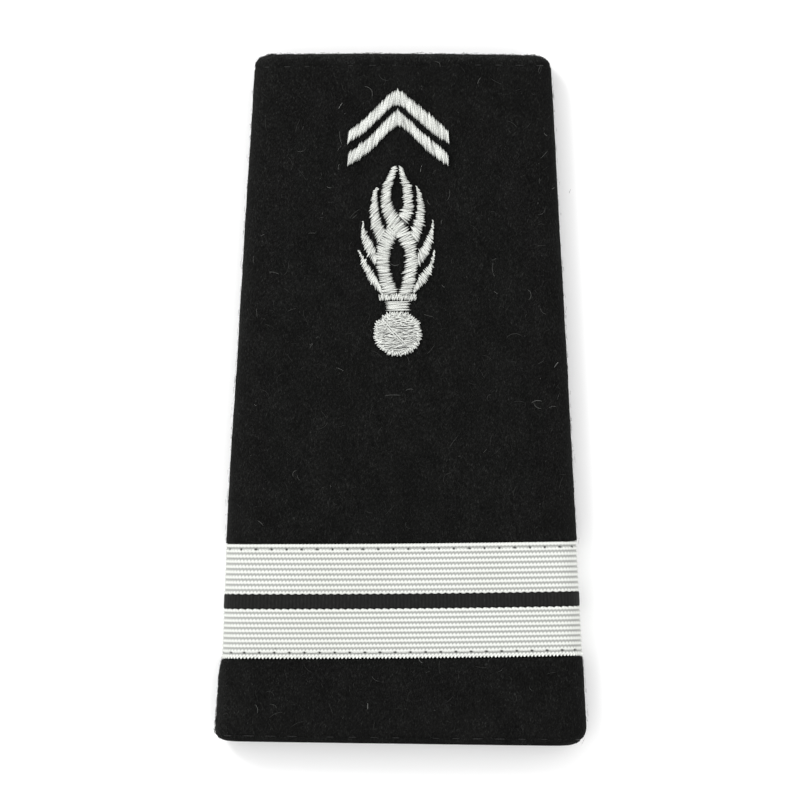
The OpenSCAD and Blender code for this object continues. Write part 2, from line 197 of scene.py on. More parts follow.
# The flame is charted in squares, 39 to each side of its middle line and 128
# from its foot to its top. Columns: left edge across and up, right edge across
# and up.
CHART_SIDE = 39
CHART_HIGH = 128
STRAND_OVER = [
    [-5, 128, -1, 127.5], [-10, 119, -3, 118], [-15, 108.5, -6, 108], [-17.5, 95, -7, 96],
    [-17, 85, -5.5, 88], [-14, 75, -2, 82], [-10, 67, 4, 76], [-6, 61, 9.5, 67],
    [-2, 56, 15, 59.5], [3, 49, 19, 51], [7, 41, 19.5, 41], [7, 31, 21.5, 32],
    [6, 21, 19.5, 23], [4.5, 14, 18, 15], [3, 8, 17, 8], [1, 0.5, 14.5, 0.5],
]
STRAND_UNDER_HIGH = [
    [0.8, 128, 4, 127], [1.5, 118, 8, 117], [4, 107, 13, 108], [4.5, 97, 15, 97],
    [5, 90, 16, 89], [3.5, 84.5, 15.3, 81], [2.5, 81, 9.5, 69],
]
STRAND_UNDER_LOW = [
    [-11.5, 66, -2.8, 54.5], [-17, 60, -4, 50], [-20.3, 51, -6.5, 44.5], [-22.4, 41, -8, 37],
    [-23, 31, -8.4, 30], [-21.3, 22, -7, 21.5], [-19.7, 13, -4.4, 14], [-18, 6, -2, 7],
    [-16.3, 0.5, -0.3, 0.5],
]
# Each tongue has the angles of its stitches against its rungs, in degrees from
# its top to its foot, and then its rows.
TONGUES = {
    "left_high": ([25, 35, 40, 30, 10, 5], [
        [-21.2, 106, -20.6, 106], [-25.5, 100, -21.2, 100], [-27, 91, -20.3, 91],
        [-28.4, 82, -18.8, 83], [-27.7, 72, -17.2, 75], [-25.5, 62, -15, 68],
        [-22.2, 55.5, -14, 65.5],
    ]),
    "left_mid": ([40, 45, 30, 15, 5, 0], [
        [-34.7, 72.5, -34.2, 72.5], [-36.7, 64, -33.4, 65], [-36.8, 55, -29.5, 57.5],
        [-33.3, 44, -25.4, 51], [-29.4, 36.5, -23.2, 45.5], [-24.6, 32, -23.6, 40.5],
    ]),
    "left_low": ([40, 30, 15, 5, 0, 0], [
        [-39, 42.5, -38.5, 42.5], [-37.2, 33, -33.8, 35], [-33.5, 22, -28.8, 26.5],
        [-29.5, 12.5, -24.2, 20.5], [-24.5, 6, -21.8, 17], [-18.8, 2.2, -20.4, 11],
    ]),
    "right_high": ([-15, -10, -10, -15, -5], [
        [18.2, 107.5, 19, 107.5], [18.3, 100, 23, 100], [18.6, 89, 26, 89],
        [17.6, 78, 27, 79], [15.6, 70, 26, 68], [13.4, 65.4, 22, 55.5],
    ]),
    "right_mid": ([-30, -35, -30, -15, -5, 0], [
        [34.7, 73, 35.3, 73], [32.5, 64, 35.6, 64], [28.5, 55, 35.5, 53.5],
        [24.3, 47.5, 32, 43.5], [21.8, 43.5, 28.5, 35.5], [21.8, 40, 23.5, 31.7],
    ]),
    "right_low": ([-30, -30, -25, -15, -5, 0], [
        [36.3, 43, 36.9, 43], [32.8, 32.5, 36, 32], [26.5, 23.5, 33, 20],
        [21.8, 17.5, 28.5, 11.5], [19.9, 13.5, 23.5, 6], [18.9, 9, 19, 3.2],
    ]),
}

# How much brighter than white the light makes a white floor
LIGHT = 1.47
GREY_TINT = (0.99, 1.01, 0.965)

# Zones round the sleeve
BACK, FOLD, FRONT, SEAM = range(4)


def smooth_step(low, high, x):
    t = np.clip((x - low) / (high - low), 0, 1)
    return t * t * (3 - 2 * t)


# The sleeve's form. y is a place on its middle line, from the middle.
def plain_w(y):
    return mix(BASE_W, TIP_W, (y + HALF_L) / SLEEVE_L)


def section(y, column):
    return np.interp(y, SECTIONS[:, 0], SECTIONS[:, column])


def across(x, y):
    return 2 * x / plain_w(y)


def corner_cut(from_end, r):
    inside = np.clip(r - from_end, 0, r)
    return r - np.sqrt(r * r - inside * inside)


def half_w(y, side):
    dent = FOLD_DENT * np.where(side < 0, section(y, 2), section(y, 3))
    base_r = np.where(side < 0, BASE_CORNER_LEFT, BASE_CORNER_RIGHT)
    cut = corner_cut(y + HALF_L, base_r) + corner_cut(HALF_L - y, TIP_CORNER)
    return plain_w(y) / 2 - dent - cut


def at_stations(y, values):
    """Between values at the wide end, the braid's two edges and the narrow end."""
    return np.interp(y, [-HALF_L, BRAID_LOW, BRAID_HIGH, HALF_L], values)


def front_z(x, y):
    return SLEEVE_H * section(y, 1) - FRONT_DROP * across(x, y) ** 2


def back_z(x, y):
    return BACK_LIFT * (np.clip(np.abs(across(x, y)) - BACK_FLAT, 0, None) / (1 - BACK_FLAT)) ** 2


def recess_share(y):
    return np.interp(y, RECESS_EDGES, [0, 1, 1, 0])


def hem_share(y, row):
    return np.clip(1 - 2 * np.abs(y - row) / HEM_GROOVE_W, 0, 1)


def inner_in(y):
    edges = [RECESS_LOW - 2 * FELT_T, RECESS_LOW, RECESS_HIGH, RECESS_HIGH + 2 * FELT_T]
    pressed = RECESS_D + PRESSED_T
    return np.interp(y, edges, [FELT_T, pressed, pressed, FELT_T])


def place(x, y, z):
    """A point whose row slants and bows as the braid and the cut ends do."""
    rise = math.tan(BRAID_ANGLE)
    slant = at_stations(y, [-math.tan(BASE_ANGLE), rise, rise, 0])
    bow = at_stations(y, [0, BRAID_BOW, BRAID_BOW, -TIP_BOW])
    return np.stack(np.broadcast_arrays(x, y + slant * x + bow * across(x, y) ** 2, z), -1)


def ring_plan(step, seam_shares=()):
    """Places round a section about a step apart, from the seam on the back over the right fold, the
    front and the left fold to the seam again, as zones, sides and shares or angles."""
    flat = mix(BASE_W, TIP_W, 0.3) / 2 - FOLD_R
    back = np.linspace(0, 1, round(flat / step) + 1)
    fold = np.linspace(-90, 90, round(math.pi * FOLD_R / step) + 1)[1:-1]
    front = np.linspace(1, -1, 2 * round(flat / step) + 1)
    seam = np.array(seam_shares)
    runs = [
        (SEAM, 1, seam), (BACK, 1, back), (FOLD, 1, fold), (FRONT, 1, front),
        (FOLD, -1, fold[::-1]), (BACK, -1, back[::-1]), (SEAM, -1, seam[::-1]),
    ]
    zone = np.concatenate([np.full(len(run), z) for z, side, run in runs])
    side = np.concatenate([np.sign(run) if z == FRONT else np.full(len(run), side) for z, side, run in runs])
    share = np.concatenate([run for z, side, run in runs])
    return zone, side, share


def round_sleeve(plan, y, depth, proud):
    """Points round the sleeve at y, at a depth in from its plain form."""
    zone, side, share = plan
    flat_end = half_w(y, side) - FOLD_R
    seam_x = SEAM_W / 2
    x_back = side * np.where(zone == SEAM, share * seam_x, mix(seam_x, flat_end, share))
    x_front = share * flat_end
    top = front_z(flat_end, y)
    bottom = back_z(flat_end, y)
    turn = np.radians(share)
    x_fold = side * (flat_end + (FOLD_R - depth) * np.cos(turn))
    z_fold = (top + bottom) / 2 + ((top - bottom) / 2 - depth) * np.sin(turn)
    fold, front = zone == FOLD, zone == FRONT
    x = np.where(fold, x_fold, np.where(front, x_front, x_back))
    z_front = front_z(x_front, y) - depth + proud * (1 - share ** 4)
    z = np.where(fold, z_fold, np.where(front, z_front, back_z(x_back, y) + depth))
    return place(x, y, z)


def lip(end, angles):
    """Places along the length, and depths, of a cut end's rounding."""
    turn = np.radians(angles)
    return end * (HALF_L - LIP_R + LIP_R * np.sin(turn)), LIP_R * (1 - np.cos(turn))


outline = round_sleeve(ring_plan(FELT_STEP), np.linspace(-HALF_L, HALF_L, 400)[:, None], 0.0, 0.0)
CENTRE = (outline.min((0, 1)) + outline.max((0, 1))) / 2 * [1, 1, 0]


def on_front(u, v, up):
    """A point of the embroidery, up being its height above the felt."""
    x = u - BADGE_LEFT - v * math.tan(BADGE_ANGLE)
    return np.stack(np.broadcast_arrays(x, v, front_z(x, v) + SEAT_GAP + up), -1) - CENTRE


# Meshes
def new_object(name, data):
    made = bpy.data.objects.new(name, data)
    bpy.context.scene.collection.objects.link(made)
    return made


def new_piece(name, points, faces, materials, uv=None, face_materials=None, values=None):
    """A mesh object that rides on the root, from points in millimetres, none of them below the floor."""
    mesh = bpy.data.meshes.new(name)
    mesh.from_pydata((np.maximum(points, [-math.inf, -math.inf, 0]) * MM).tolist(), [], faces)
    for material in materials:
        mesh.materials.append(material)
    if face_materials is not None:
        mesh.polygons.foreach_set("material_index", np.asarray(face_materials, np.int32))
    mesh.polygons.foreach_set("use_smooth", np.ones(len(mesh.polygons), bool))
    if uv is not None:
        mesh.uv_layers.new(name="UVMap").data.foreach_set("uv", np.asarray(uv, np.float32).ravel())
    for key, column in (values or {}).items():
        mesh.attributes.new(key, "FLOAT", "POINT").data.foreach_set("value", np.asarray(column, np.float32))
    piece = new_object(name, mesh)
    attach(piece, "root")
    return piece


def grid_faces(rows, columns, close_rows, close_columns):
    i = np.arange(rows if close_rows else rows - 1)[:, None]
    j = np.arange(columns if close_columns else columns - 1)[None, :]
    after_i, after_j = (i + 1) % rows, (j + 1) % columns
    corners = [i * columns + j, i * columns + after_j, after_i * columns + after_j, after_i * columns + j]
    return np.stack(np.broadcast_arrays(*corners), -1).reshape(-1, 4)


def unit(vectors):
    return vectors / np.linalg.norm(vectors, axis=-1, keepdims=True)


def distances(points):
    """How far along a path each of its points is."""
    return np.concatenate([[0], np.cumsum(np.linalg.norm(np.diff(points, axis=0), axis=1))])


def at_distances(places, run, points):
    """Points at places along a path, whose own points are at the distances in run."""
    return np.stack([np.interp(places, run, column) for column in points.T], -1)


def tubes(paths, radii, tones, sides=6, slot=0):
    """Closed round threads along paths of as many points each, as a part to join: points, faces, face
    corner UVs of (millimetres along, turns round), a tone for each point, and the material's number.
    Tones are given one for each thread, or one for each point of its path."""
    paths = np.asarray(paths)
    count, steps, _ = paths.shape
    along_path = unit(np.gradient(paths, axis=1))
    aside = unit(np.cross(along_path, [0.02, 0.03, 1.0]))
    above = np.cross(aside, along_path)
    turn = np.linspace(0, 2 * math.pi, sides, endpoint=False)
    taper = np.ones(steps)
    taper[0] = taper[-1] = 0.6
    reach = np.broadcast_to(radii, count)[:, None, None, None] * taper[:, None, None]
    around = aside[:, :, None] * np.cos(turn)[:, None] + above[:, :, None] * np.sin(turn)[:, None]
    points = paths[:, :, None] + reach * around
    wall = grid_faces(steps, sides, False, True)[:, ::-1]
    start = np.arange(count) * steps * sides
    faces = (start[:, None, None] + wall).reshape(-1, 4).tolist()
    near_cap = (start[:, None] + np.arange(sides)).tolist()
    far_cap = (start[:, None] + (steps - 1) * sides + np.arange(sides)[::-1]).tolist()
    run = np.linalg.norm(np.diff(paths, axis=1), axis=2)
    run = np.concatenate([np.zeros((count, 1)), np.cumsum(run, axis=1)], 1)
    step_of, side_of = np.divmod(wall, sides)
    round_to = side_of / sides
    wraps = (side_of.max(1) == sides - 1) & (side_of.min(1) == 0)
    round_to = np.where(wraps[:, None] & (side_of == 0), 1.0, round_to)
    uv = np.stack([run[:, step_of], np.broadcast_to(round_to, (count,) + round_to.shape)], -1).reshape(-1, 2)
    cap_uv = np.zeros((2 * count * sides, 2))
    tones = np.asarray(tones)
    if tones.ndim == 1:
        tones = np.repeat(tones[:, None], steps, 1)
    tone = np.repeat(tones.ravel(), sides)
    return points.reshape(-1, 3), faces + near_cap + far_cap, np.concatenate([uv, cap_uv]), tone, slot


def joined(parts):
    """Joins parts into one, with a material's number for each face."""
    points, faces, uv, tone, index, first = [], [], [], [], [], 0
    for p, f, u, t, m in parts:
        points.append(p)
        faces += [[corner + first for corner in face] for face in f]
        uv.append(u)
        tone.append(t)
        index += [m] * len(f)
        first += len(p)
    return np.concatenate(points), faces, np.concatenate(uv), np.concatenate(tone), index


def thread_piece(name, part, material):
    points, faces, uv, tone = part[:4]
    return new_piece(name, points, faces, [material], uv, values={"tone": tone})


# Materials
class Nodes:
    """A new material's node tree, with short calls to add and link nodes."""

    def __init__(self, name, roughness, specular):
        self.material = bpy.data.materials.new(name)
        self.material.use_nodes = True
        self.tree = self.material.node_tree
        self.shader = self.tree.nodes["Principled BSDF"]
        self.shader.inputs["Roughness"].default_value = roughness
        self.shader.inputs["Specular IOR Level"].default_value = specular

    def add(self, kind, links=None, **settings):
        node = self.tree.nodes.new(kind)
        for key, value in settings.items():
            setattr(node, key, value)
        for key, source in (links or {}).items():
            if isinstance(source, bpy.types.NodeSocket):
                self.tree.links.new(source, node.inputs[key])
            else:
                node.inputs[key].default_value = source
        return node

    def noise(self, scale, detail, stretch=(1, 1, 1), turn=0.0):
        """Noise that is stretched along an axis and then turned."""
        where = self.add("ShaderNodeTexCoord").outputs["Object"]
        mapping = self.add("ShaderNodeMapping", {
            "Vector": where, "Scale": stretch, "Rotation": (0, 0, turn)}, vector_type="TEXTURE")
        return self.add("ShaderNodeTexNoise", {
            "Vector": mapping.outputs[0], "Scale": scale, "Detail": detail, "Roughness": 0.6}).outputs[0]

    def math(self, operation, a, b=0.0):
        return self.add("ShaderNodeMath", {0: a, 1: b}, operation=operation).outputs[0]

    def plus(self, a, b):
        return self.math("ADD", a, b)

    def minus(self, a, b):
        return self.math("SUBTRACT", a, b)

    def times(self, a, b):
        return self.math("MULTIPLY", a, b)

    def wave(self, turns):
        return self.math("SINE", self.times(turns, 2 * math.pi))

    def uv(self):
        uv_map = self.add("ShaderNodeUVMap", uv_map="UVMap").outputs[0]
        return self.add("ShaderNodeSeparateXYZ", {0: uv_map}).outputs[:2]

    def ramp(self, factor, stops):
        node = self.add("ShaderNodeValToRGB", {0: factor})
        elements = node.color_ramp.elements
        for element, (at, colour) in zip(elements, stops):
            element.position = at
            element.color = colour + (1,)
        for at, colour in stops[len(elements):]:
            elements.new(at).color = colour + (1,)
        return node.outputs[0]

    def fall(self, value, low, high):
        """One below low and nought above high, with a smooth slope between."""
        return self.add("ShaderNodeMapRange", {
            "Value": value, "From Min": low, "From Max": high, "To Min": 1.0, "To Max": 0.0,
        }, interpolation_type="SMOOTHSTEP").outputs[0]

    def tint(self, a, b):
        """The product of two colours."""
        colours = {0: 1.0, 6: a, 7: b}
        return self.add("ShaderNodeMix", colours, data_type="RGBA", blend_type="MULTIPLY").outputs[2]

    def bump(self, height, distance, strength=1.0):
        settings = {"Height": height, "Distance": distance, "Strength": strength}
        return self.add("ShaderNodeBump", settings).outputs[0]

    def attribute(self, name):
        return self.add("ShaderNodeAttribute", attribute_name=name).outputs["Fac"]

    def finish(self, colour, normal):
        self.tree.links.new(colour, self.shader.inputs["Base Color"])
        self.tree.links.new(normal, self.shader.inputs["Normal"])
        return self.material


def grey(level):
    """The colour of a surface that shows as an sRGB level, from 0 to 255, in this light."""
    value = level / 255
    linear = value / 12.92 if value < 0.04045 else ((value + 0.055) / 1.055) ** 2.4
    return tuple(linear * part / LIGHT for part in GREY_TINT)


def even(level):
    return (level, level, level)


def felt_material():
    """Felt of fibres that lie mostly along the sleeve, made lighter at the narrow end and by the folds by
    painted rim light from a point attribute.
    """
    nodes = Nodes("felt_black", 0.95, 0.05)
    lean_left = nodes.noise(6400, 2, (1, 3.4, 1), 0.3)
    lean_right = nodes.noise(6400, 2, (1, 3.4, 1), -0.35)
    crossing = nodes.minus(nodes.noise(6800, 2, (3, 1, 1), 0.5), 0.03)
    fibres = nodes.math("MAXIMUM", nodes.math("MAXIMUM", lean_left, lean_right), crossing)
    colour = nodes.ramp(fibres, [(0.44, grey(11)), (0.56, grey(20)), (0.66, grey(30)), (0.8, grey(58))])
    cloud = nodes.noise(300, 4, (1, 1.6, 1), 0.2)
    colour = nodes.tint(colour, nodes.ramp(cloud, [(0.36, even(0.8)), (0.64, even(1.18))]))
    # Painted rim light: lighter felt at the narrow end and by the folds
    painted_rim_light = nodes.times(nodes.attribute("painted_rim_light"), 0.25)
    colour = nodes.tint(colour, nodes.ramp(painted_rim_light, [(0.0, even(0.0)), (1.0, even(4.0))]))
    return nodes.finish(colour, nodes.bump(fibres, 0.00008, 0.8))


def fibre_material():
    nodes = Nodes("felt_fibre", 0.8, 0.1)
    colour = nodes.ramp(nodes.attribute("tone"), [
        (0.0, grey(24)), (0.5, grey(44)), (0.85, grey(72)), (1.0, grey(190))])
    return nodes.finish(colour, nodes.bump(nodes.noise(9000, 2), 0.00001))


def braid_white_material():
    """A ribbed weave. u counts the cords along the braid, v its ribs. Each valley between two ribs has a
    straight side and a side that is notched between the cords. The valleys are painted darker, as painted
    shade between the ribs."""
    nodes = Nodes("braid_white", 0.5, 0.2)
    u, v = nodes.uv()
    step = nodes.times(nodes.math("FLOOR", v), 0.5)
    cord = nodes.plus(nodes.plus(u, step), nodes.times(nodes.noise(900, 2), 0.3))
    sway = nodes.times(nodes.wave(cord), 0.07)
    off = nodes.plus(nodes.minus(nodes.math("FRACT", v), 0.5), sway)
    notch = nodes.times(nodes.fall(nodes.math("PINGPONG", cord, 0.5), 0.0, 0.36), 0.24)
    from_valley = nodes.math("MAXIMUM", nodes.minus(0.0, off), nodes.minus(off, notch))
    valley = nodes.fall(from_valley, 0.06, 0.34)
    slant = nodes.plus(nodes.times(u, 2.0), off)
    fine = nodes.times(nodes.wave(slant), 0.03)
    # Painted shade: the valleys between the ribs are made darker
    level = nodes.plus(nodes.minus(0.97, nodes.times(valley, 0.5)), fine)
    # The point attribute tone brings the band's painted shade along its stitch channel and its darker needle
    # holes
    level = nodes.times(level, nodes.attribute("tone"))
    colour = nodes.ramp(level, [
        (0.0, grey(40)), (0.3, grey(118)), (0.45, grey(178)), (0.75, grey(229)), (0.97, grey(253))])
    soil = nodes.ramp(nodes.noise(60, 4), [(0.35, (0.97, 0.97, 0.96)), (0.6, even(1.0))])
    threads = nodes.noise(5200, 2, (1, 3, 1), 0.12)
    height = nodes.plus(level, nodes.times(threads, 0.3))
    return nodes.finish(nodes.tint(colour, soil), nodes.bump(height, 0.00005, 0.6))


def braid_black_material():
    nodes = Nodes("braid_black", 0.7, 0.1)
    u, v = nodes.uv()
    cords = nodes.times(nodes.wave(u), 0.14)
    from_edge = nodes.math("MINIMUM", v, nodes.minus(1.0, v))
    # Painted shade: darker near both edges, where the line dips down beside the white bands
    edge = nodes.times(nodes.fall(from_edge, 0.0, 0.13), 0.3)
    threads = nodes.times(nodes.noise(4200, 3, (1, 3, 1), 0.05), 0.9)
    level = nodes.minus(nodes.plus(threads, cords), edge)
    colour = nodes.ramp(level, [(0.1, grey(18)), (0.4, grey(29)), (0.62, grey(35)), (0.8, grey(48))])
    return nodes.finish(colour, nodes.bump(level, 0.00006, 0.8))


def thread_material(name, dark, light):
    """A thread of two plies, twisted along its length, from a dark to a light level by its tone. The grooves
    between the plies are painted darker, as painted shade.
    """
    nodes = Nodes(name, 0.42, 0.35)
    along_thread, round_thread = nodes.uv()
    plies = nodes.wave(nodes.plus(nodes.times(along_thread, 2.5), nodes.times(round_thread, 2.0)))
    colour = nodes.ramp(nodes.attribute("tone"), [(0.0, grey(dark)), (1.0, grey(light))])
    groove = nodes.plus(nodes.times(plies, 0.5), 0.5)
    # Painted shade in the grooves between the plies
    colour = nodes.tint(colour, nodes.ramp(groove, [(0.0, (0.6, 0.6, 0.59)), (0.55, even(1.0))]))
    return nodes.finish(colour, nodes.bump(plies, 0.00003, 0.8))


# The felt sleeve
def felt_skin(material):
    """The felt, and the grid of its outer points."""
    plan = ring_plan(FELT_STEP, seam_shares=(0.08, 0.3, 0.7))
    zone, _, share = plan
    groove = np.where(zone == SEAM, SEAM_D * (1 - smooth_step(0.05, 0.9, share)), 0.0)
    outer_y = np.linspace(-HALF_L + 1.05 * LIP_R, HALF_L - 1.05 * LIP_R, 230)
    hems = np.add.outer([BASE_ROW, TIP_ROW], [-0.3, -0.15, 0, 0.15, 0.3]).ravel()
    outer_y = np.unique(np.concatenate([outer_y, RECESS_EDGES, hems]))
    outer_y = outer_y[np.abs(outer_y) < HALF_L - LIP_R]
    inner_y = np.linspace(HALF_L - 1.3 * LIP_R, 1.3 * LIP_R - HALF_L, 60)
    angles = np.linspace(0, 180, 9)
    tip_y, tip_in = lip(1, angles)
    base_y, base_in = lip(-1, angles[::-1])
    y = np.concatenate([outer_y, tip_y, inner_y, base_y])[:, None]
    inside = np.concatenate([RECESS_D * recess_share(outer_y), tip_in, inner_in(inner_y), base_in])
    is_outer = np.arange(len(y))[:, None] < len(outer_y)
    pressed = recess_share(y) * is_outer
    run = np.linspace(0, 2 * SLEEVE_W_MEAN / HEM_PITCH, len(zone))
    tug = 0.7 + 0.3 * np.cos(2 * math.pi * run)
    plain_x = round_sleeve(plan, y, 0.0, 0.0)[..., 0]
    hem = hem_share(y, BASE_ROW) + hem_share(y, TIP_ROW + TIP_HEM_SLANT * plain_x)
    depth = inside[:, None] + groove * (1 - pressed) * is_outer
    depth = depth + HEM_GROOVE_D * hem * tug * is_outer
    points = round_sleeve(plan, y, depth, BRAID_PROUD * pressed)
    rough = np.array([
        0.05 * noise.noise(Vector(p * 0.12)) + 0.03 * noise.noise(Vector(p * 0.7))
        + 0.02 * noise.noise(Vector(p * 2.3)) for p in points.reshape(-1, 3)]).reshape(depth.shape)
    is_back = (zone == BACK) | (zone == SEAM)
    rough = np.where(is_back, np.maximum(rough, 0.0), rough) * (1 - pressed) + 0.02 * pressed
    points = round_sleeve(plan, y, depth + rough, BRAID_PROUD * pressed) - CENTRE
    faces = grid_faces(*depth.shape, True, True).tolist()
    # Painted rim light on the points, for the felt's colour
    painted_rim_light = rim_light(plain_x, y)
    piece = new_piece("sleeve_felt", points.reshape(-1, 3), faces, [material], values={"painted_rim_light": painted_rim_light})
    return piece, points[:len(outer_y) + len(angles)]


def rim_light(x, y):
    """Painted rim light: how many times as light the felt is made, at the narrow end and by the folds, where
    those edges catch the lamps.
    """
    from_left = np.clip(half_w(y, -1) + x, 0, None)
    from_right = np.clip(half_w(y, 1) - x, 0, None)
    low = 1 - smooth_step(BRAID_LOW - 1, BRAID_LOW, y)
    light = 1 + 2.3 * np.exp(-(HALF_L - y) / 0.5) + 0.3 * np.exp(-from_left / 3.0)
    light = light + 0.35 * np.exp(-from_right / 0.4) + (0.35 + 1.3 * low) * np.exp(-from_left / 0.4)
    return np.clip(light, 0, 4).ravel()


def surface_of(grid):
    """Places, outward directions and areas of a grid of points."""
    normal = np.cross(np.gradient(grid, axis=1), np.gradient(grid, axis=0))
    size = np.linalg.norm(normal, axis=2, keepdims=True)
    return grid.reshape(-1, 3), (normal / size).reshape(-1, 3), size.ravel()


def fibre_paths(start, out, aim_angle, length, lift):
    """Curved fibres from places on the felt, at angles from the sleeve's length."""
    count = len(start)
    aim = np.stack([np.sin(aim_angle), np.cos(aim_angle), rng.normal(0, 0.3, count)], -1)
    aim = unit(aim - out * (aim * out).sum(1, keepdims=True))
    turned = np.cross(out, aim)
    t = np.linspace(-0.5, 0.5, 4)[None, :, None]
    curl = (rng.normal(0, 0.5, count) * length)[:, None, None]
    paths = start[:, None] + aim[:, None] * t * length[:, None, None] + turned[:, None] * curl * t * t
    return paths + out[:, None] * (lift[:, None, None] * (1 - 3 * t * t) - 0.015)


def fibres(grid, material):
    """Loose fibres that lie on the felt."""
    places, out, area = surface_of(grid)
    free = recess_share(places[:, 1] + CENTRE[1]) == 0
    weight = area * free * np.where(places[:, 2] > 3, 1.0, 0.3)
    spots = rng.choice(len(weight), FIBRES, p=weight / weight.sum())
    start = places[spots] + rng.normal(0, 0.15, (FIBRES, 3)) * [1, 1, 0]
    angle = rng.normal(0, 0.8, FIBRES)
    length = rng.uniform(0.25, 1.3, FIBRES)
    tones = np.clip(rng.beta(1.6, 3.2, FIBRES), 0, 0.9)
    paths = fibre_paths(start, out[spots], angle, length, rng.uniform(0.01, 0.05, FIBRES))
    return thread_piece("felt_fibres", tubes(paths, rng.uniform(0.014, 0.024, FIBRES), tones, 3), material)


# Bright threads of lint on the front. Columns: across and up from the middle, angle from
# the sleeve's length in degrees, length, and curl
LINT = [
    [-9.6, 42.8, 30, 1.0, 0.1], [10.9, 46.6, 25, 1.0, 0.1], [-9.7, 36.6, 35, 0.9, 0.3],
    [-9.5, 33.8, 5, 0.9, 0.3], [-10.5, 31.3, -80, 0.7, 0.4], [-11.9, 27.3, 20, 0.3, 0.0],
    [2.6, 33.5, 10, 1.0, 0.2], [4.4, 33.2, 35, 0.8, 0.5], [21.4, 39.0, -50, 0.7, 0.2],
    [20.2, 31.9, 0, 0.8, 0.2], [22.0, 31.2, 60, 0.4, 0.0], [14.2, 15.7, -60, 0.7, 0.3],
    [18.1, 12.3, 30, 0.4, 0.0], [6.3, 16.6, -50, 0.6, 0.4], [4.1, 28.8, -35, 0.8, 0.4],
    [15.2, 8.8, 75, 2.6, 0.7], [-13.6, 7.0, 20, 1.2, 0.5], [22.4, 4.7, 35, 1.0, 0.1],
    [0.4, 1.2, 80, 1.3, 0.5], [19.0, -0.6, 75, 1.6, 0.5], [-8.0, 26.5, 45, 2.0, 0.2],
    [3.3, -38.9, -45, 0.9, 0.5], [-3.0, -41.6, -60, 1.4, 0.5], [-18.6, -37.2, 10, 0.4, 0.1],
    [8.9, -37.5, 20, 0.4, 0.0], [16.0, -37.5, 20, 0.4, 0.0], [-4.9, -45.9, 0, 0.9, 0.0],
    [24.6, 30.5, 15, 0.6, 0.2], [-3.9, 39.7, 70, 1.4, 0.6], [-21.0, 24.0, 60, 0.6, 0.3],
    [12.0, -8.0, 40, 0.9, 0.3], [-15.0, -12.0, -30, 0.8, 0.4],
]


def lint(material):
    """The bright threads of lint, and many faint curled ones and specks off the braid."""
    across_front = rng.uniform(-0.94, 0.94, FAINT_LINT)
    up_front = rng.uniform(-49.5, 49.5, FAINT_LINT)
    speck = rng.random(FAINT_LINT) < 0.45
    faint = np.stack([
        across_front * plain_w(up_front) / 2, up_front, rng.normal(0, 50, FAINT_LINT),
        np.where(speck, 0.2, rng.uniform(0.6, 2.2, FAINT_LINT)), rng.normal(0, 0.5, FAINT_LINT)], -1)
    faint = faint[recess_share(up_front + CENTRE[1]) == 0]
    x, y, angle, length, curl = np.concatenate([LINT, faint]).T
    t = np.linspace(-0.5, 0.5, 8)[None, :]
    turn = np.radians(angle)[:, None] + curl[:, None] * 2.4 * t
    step = length[:, None] / 7
    across_path = np.cumsum(np.sin(turn) * step, 1) + x[:, None]
    up_path = np.cumsum(np.cos(turn) * step, 1) + y[:, None]
    lift = 0.03 + 0.03 * np.cos(7 * t + x[:, None])
    paths = np.stack([across_path, up_path, front_z(across_path, up_path) + lift], -1)
    bright = np.arange(len(x)) < len(LINT)
    tones = np.where(bright, rng.uniform(0.84, 0.95, len(x)), rng.uniform(0.68, 0.9, len(x)))
    return thread_piece("felt_lint", tubes(paths, np.where(bright, 0.026, 0.02), tones, 5), material)


def edge_fuzz(grid, material):
    """Short fibres that stand out at the cut ends and along the lower left fold."""
    places, out, area = surface_of(grid)
    y = places[:, 1] + CENTRE[1]
    tip = (y > HALF_L - 0.8) & (places[:, 2] > 3.5)
    base = y < 0.8 - HALF_L
    fold = (places[:, 0] < -25.5) & (y < BRAID_LOW - 0.3) & (places[:, 2] > 1.5)
    weight = area * (6.0 * tip + 0.4 * base + 5.0 * fold + 0.01)
    spots = rng.choice(len(weight), FUZZ, p=weight / weight.sum())
    start = places[spots] + rng.normal(0, 0.08, (FUZZ, 3)) * [1, 1, 0.3]
    angle = rng.uniform(-math.pi, math.pi, FUZZ)
    length = rng.uniform(0.2, 0.8, FUZZ)
    lift = rng.uniform(0.0, 0.18, FUZZ)
    # Painted light: fuzz along the narrow end's edge is given brighter tones, where that edge catches the
    # lamps
    bright = tip[spots] & (start[:, 0] > -18)
    tones = np.where(bright, rng.beta(2.4, 2.0, FUZZ), rng.beta(2.0, 2.4, FUZZ)) * 0.92
    paths = fibre_paths(start, out[spots], angle, length, lift)
    return thread_piece("felt_fuzz", tubes(paths, rng.uniform(0.022, 0.036, FUZZ), tones, 3), material)


